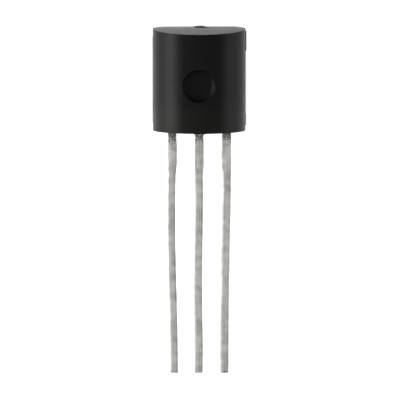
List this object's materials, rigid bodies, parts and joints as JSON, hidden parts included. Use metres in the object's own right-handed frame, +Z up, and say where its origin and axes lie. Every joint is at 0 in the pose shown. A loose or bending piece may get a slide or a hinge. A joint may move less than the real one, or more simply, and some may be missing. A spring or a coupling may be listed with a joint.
{
  "type": "to-92 transistor",
  "caption": "Small through-hole transistor: black D-shaped moulding on three slim tinned leads, with its lead frame, die and bond wires inside.",
  "frame": {"origin": "on the table, under the middle of the box round the part as it lies on its flat side", "axes": "+X across the three leads, +Y from the lead tips towards the package's top, +Z up, out of the round side"},
  "size_m": [0.0044, 0.0164, 0.0039],
  "materials": {
    "epoxy_moulding": "satin black silica-filled epoxy moulding compound",
    "tinned_lead": "dull tin plating over a copper alloy sheet",
    "silicon": "polished silicon",
    "die_attach": "silver-filled adhesive",
    "bond_wire": "bright gold wire"
  },
  "bodies": {
    "root": {"moulded_body": "epoxy_moulding", "collector_lead_and_island": "tinned_lead", "left_lead": "tinned_lead", "right_lead": "tinned_lead", "silicon_die": "silicon", "die_attach": "die_attach", "left_bond_wire": "bond_wire", "right_bond_wire": "bond_wire"}
  },
  "joints": []
}
